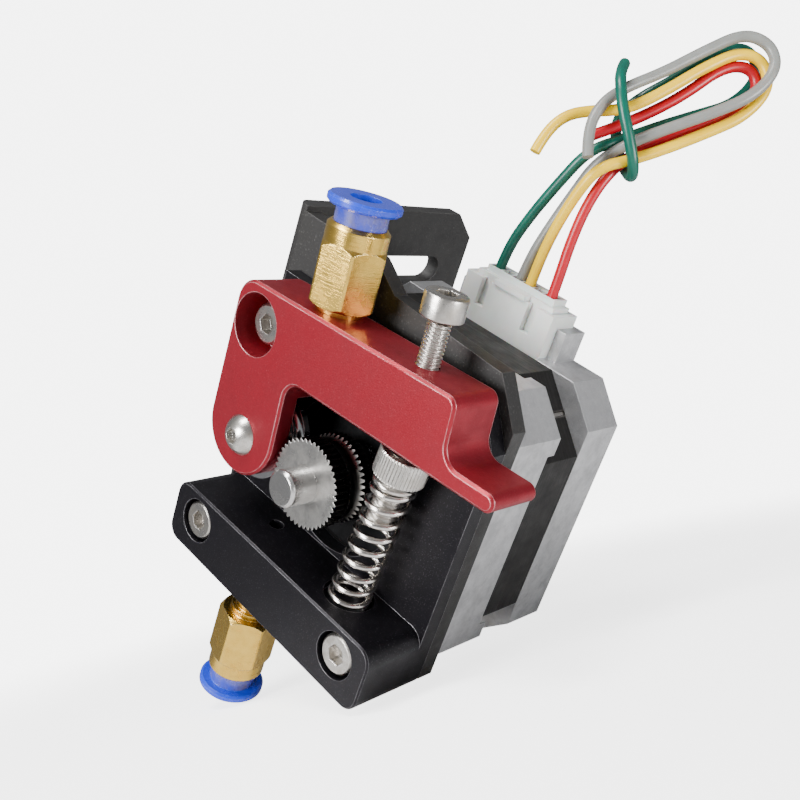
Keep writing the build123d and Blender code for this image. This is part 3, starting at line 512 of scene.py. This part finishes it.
# ---- tension screw and guide screw -----------------------------------------------------
# Two cap screws with rolled threads. The upper one runs through the lever and bears in a
# shallow recess in the guide screw's knurled head, whose shank centres the spring.
LEVER_TILT = math.radians(-3.5)
SPRING_FOOT, SPRING_TOP = Vector((10.4, -8.8, -12.2)), Vector((11.69, -8.8, 7.6))
SPRING_LEAN = math.atan2(SPRING_TOP.x - SPRING_FOOT.x, SPRING_TOP.z - SPRING_FOOT.z)
FACETS = 96
pivot = at(-15.5, 0, 15.5)
lever_lean = Matrix.Rotation(LEVER_TILT, 4, "Y")
with_lever = Matrix.Translation(pivot) @ lever_lean @ Matrix.Translation(-pivot)


def finish_mesh(mesh, name, matrix, material, body, sharp=35):
    """Puts a finished bmesh in its place as a piece that rides on a body."""
    bmesh.ops.recalc_face_normals(mesh, faces=mesh.faces)
    bmesh.ops.transform(mesh, verts=mesh.verts, matrix=matrix)
    data = bpy.data.meshes.new(name)
    mesh.to_mesh(data)
    mesh.free()
    data.materials.append(material)
    data.polygons.foreach_set("use_smooth", [True] * len(data.polygons))
    data.set_sharp_from_angle(angle=math.radians(sharp))
    piece = bpy.data.objects.new(name, data)
    bpy.context.scene.collection.objects.link(piece)
    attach(piece, body)
    return piece


def turned_head(mesh, profile):
    """A head turned from its profile, given in millimetres from the axis and upwards."""
    line = [mesh.verts.new((radius / 1000, 0, rise / 1000)) for radius, rise in profile]
    edges = [mesh.edges.new(pair) for pair in zip(line, line[1:])]
    bmesh.ops.spin(mesh, geom=line + edges, cent=(0, 0, 0), axis=(0, 0, 1), angle=math.tau,
                   steps=FACETS, use_merge=True)
    bmesh.ops.remove_doubles(mesh, verts=mesh.verts, dist=1e-7)


def ring_of(mesh, radius):
    """The vertices that lie at one distance from the axis, in millimetres."""
    return [v for v in mesh.verts if abs(v.co.xy.length - radius / 1000) < 1e-6]


def rolled_thread(mesh, radius, pitch, length, depth):
    """A thread that hangs below z 0: one tooth spun down the shank, with its ends closed."""
    root = radius - depth
    steps = 32
    turns = int(length / pitch) - 1
    tooth = [mesh.verts.new((r / 1000, 0, -rise / 1000)) for r, rise in
             ((root, 0), (radius, pitch * 0.42), (radius, pitch * 0.58), (root, pitch))]
    edges = [mesh.edges.new(pair) for pair in zip(tooth, tooth[1:])]
    bmesh.ops.spin(mesh, geom=tooth + edges, cent=(0, 0, 0), axis=(0, 0, 1), angle=math.tau * turns,
                   dvec=(0, 0, -pitch / 1000 / steps), steps=steps * turns)
    bmesh.ops.remove_doubles(mesh, verts=mesh.verts, dist=1e-7)
    bmesh.ops.holes_fill(mesh, edges=[edge for edge in mesh.edges if edge.is_boundary], sides=0)


HEX_CORNER = 1.44
KNURL_RADIUS = 3.49
KNURL_ROOT = 0.955
upper = bmesh.new()
turned_head(upper, [(0, 0), (2.62, 0), (2.74, 0.12), (2.74, 2.62), (2.66, 2.86), (2.44, 3.0),
                    (HEX_CORNER, 3.0), (HEX_CORNER, 1.4), (0, 1.2)])
for vertex in ring_of(upper, HEX_CORNER):
    around = math.degrees(math.atan2(vertex.co.y, vertex.co.x))
    flat_share = math.cos(math.radians(30)) / math.cos(math.radians((around + 360) % 60 - 30))
    vertex.co.xy *= flat_share
rolled_thread(upper, radius=1.49, pitch=0.5, length=17.4, depth=0.30)
upper_screw = finish_mesh(upper, "tension_screw", with_lever @ Matrix.Translation(at(10.9, -8.8, 27.2)),
                          plated_steel, "adjuster")
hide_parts("adjust_screw")

lean = Matrix.Rotation(SPRING_LEAN, 4, "Y")
lower = bmesh.new()
turned_head(lower, [(0, 0), (3.1, 0), (3.44, 0.55), (KNURL_RADIUS, 0.62), (KNURL_RADIUS, 3.75), (3.3, 3.98),
                    (2.3, 3.98), (2.3, 3.5), (0, 3.5)])
grooves = [v for v in ring_of(lower, KNURL_RADIUS)
           if round(math.atan2(v.co.y, v.co.x) / math.tau * FACETS) % 2]
bmesh.ops.scale(lower, verts=grooves, vec=(KNURL_ROOT, KNURL_ROOT, 1))
rolled_thread(lower, radius=1.98, pitch=0.7, length=7.5, depth=0.40)
lower_screw = finish_mesh(lower, "guide_screw_knurled", Matrix.Translation(at(*SPRING_TOP)) @ lean,
                          plated_steel, "guide", sharp=18)
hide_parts("guide_screw")

# ---- tension spring --------------------------------------------------------------------
# Plated music wire, 0.8 mm thick, with one closed turn at each end.
spring_steel = worked_metal("plated_spring_wire", (0.74, 0.72, 0.69), (0.50, 0.46, 0.42),
                            (0.92, 0.90, 0.88), 1.0,
                            Stain_Scale=800.0, Grain_Scale=4200.0, Grain_Depth=0.000003,
                            Smooth=0.12, Coarse=0.26)
WIRE, COIL_RADIUS, TURN_STEPS, OPEN_TURNS = 0.0008, 0.0026, 40, 8
CLOSED_RISE = 1.02 * WIRE
coil = bmesh.new()
wire_start = Matrix.Translation((COIL_RADIUS, 0, WIRE / 2)) @ Matrix.Rotation(math.pi / 2, 4, "X")
section = bmesh.ops.create_circle(coil, segments=14, radius=WIRE / 2, matrix=wire_start)
last = section["verts"] + list(coil.edges)
spring_length = (SPRING_TOP - SPRING_FOOT).length / 1000
open_rise = (spring_length - WIRE - 2 * CLOSED_RISE) / OPEN_TURNS
for turns, rise in ((1, CLOSED_RISE), (OPEN_TURNS, open_rise), (1, CLOSED_RISE)):
    spun = bmesh.ops.spin(coil, geom=last, cent=(0, 0, 0), axis=(0, 0, 1), angle=math.tau * turns,
                          dvec=(0, 0, rise / TURN_STEPS), steps=TURN_STEPS * turns)
    last = spun["geom_last"]
bmesh.ops.remove_doubles(coil, verts=coil.verts, dist=1e-7)
bmesh.ops.holes_fill(coil, edges=[e for e in coil.edges if e.is_boundary], sides=0)
spring = finish_mesh(coil, "tension_spring", Matrix.Translation(at(*SPRING_FOOT)) @ lean, spring_steel,
                     "motor_and_block", sharp=60)
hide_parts("lever_spring")
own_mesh(spring)

# ---- push-in fittings ------------------------------------------------------------------
# Turned brass with a milled hexagon, a rubber seal inside and a moulded blue release collet.
turned_brass = worked_metal("turned_brass", (0.84, 0.56, 0.12), (0.74, 0.46, 0.085), (0.98, 0.82, 0.46), 1.0,
                            Stain_Scale=520.0, Grain_Scale=3800.0, Grain_Stretch=(0.12, 0.12, 1.0),
                            Grain_Depth=0.00002, Edge_Amount=0.7, Speck=(0.40, 0.25, 0.06, 1),
                            Speck_Amount=0.25, Smooth=0.20, Coarse=0.30)
COLLET_BLUE, NECK_GREY = (0.012, 0.055, 0.78), (0.16, 0.15, 0.30)


def two_tone_collet(name, place, direction):
    """Blue plastic whose neck, behind the flange, is a smoky grey-lilac."""
    material = worked_metal(name, COLLET_BLUE, (0.008, 0.04, 0.62), (0.10, 0.24, 0.95), 0.0, coat=0.4,
                            transmission=0.18, Stain_Scale=300.0, Grain_Scale=2600.0,
                            Grain_Depth=0.000006, Speck_Amount=0.05, Smooth=0.22, Coarse=0.32)
    coordinates = place_node(material, "ShaderNodeTexCoord")
    from_flange = place_node(material, "ShaderNodeVectorMath")
    from_flange.operation = "SUBTRACT"
    from_flange.inputs[1].default_value = place
    along = place_node(material, "ShaderNodeVectorMath")
    along.operation = "DOT_PRODUCT"
    along.inputs[1].default_value = direction
    links = material.node_tree.links
    links.new(coordinates.outputs["Object"], from_flange.inputs[0])
    links.new(from_flange.outputs[0], along.inputs[0])
    share = spread(material.node_tree, along.outputs["Value"], -0.0002, 0.0)
    tone = place_node(material, "ShaderNodeMix")
    tone.data_type = "RGBA"
    tone.inputs[6].default_value = (*NECK_GREY, 1)
    tone.inputs[7].default_value = (*COLLET_BLUE, 1)
    links.new(share, tone.inputs[0])
    links.new(tone.outputs[2], finish_node(material).inputs["Base"])
    return material


inlet_up = (math.sin(LEVER_TILT), 0, math.cos(LEVER_TILT))
upper_collet = two_tone_collet("upper_blue_collet", with_lever @ at(-5.9, -8.2, 34.8), inlet_up)
lower_collet = two_tone_collet("lower_blue_collet", at(-6.25, -8.2, -39.25), (0, 0, -1))
seal_rubber = worked_metal("seal_rubber", (0.025, 0.025, 0.026), (0.018, 0.018, 0.018),
                           (0.08, 0.08, 0.08), 0.0,
                           Grain_Scale=3000.0, Grain_Depth=0.00002, Smooth=0.6, Coarse=0.75)
dress(turned_brass, "inlet_body", "outlet_body")
dress(upper_collet, "inlet_collet")
dress(lower_collet, "outlet_collet")
dress(seal_rubber, "inlet_seal", "outlet_seal")
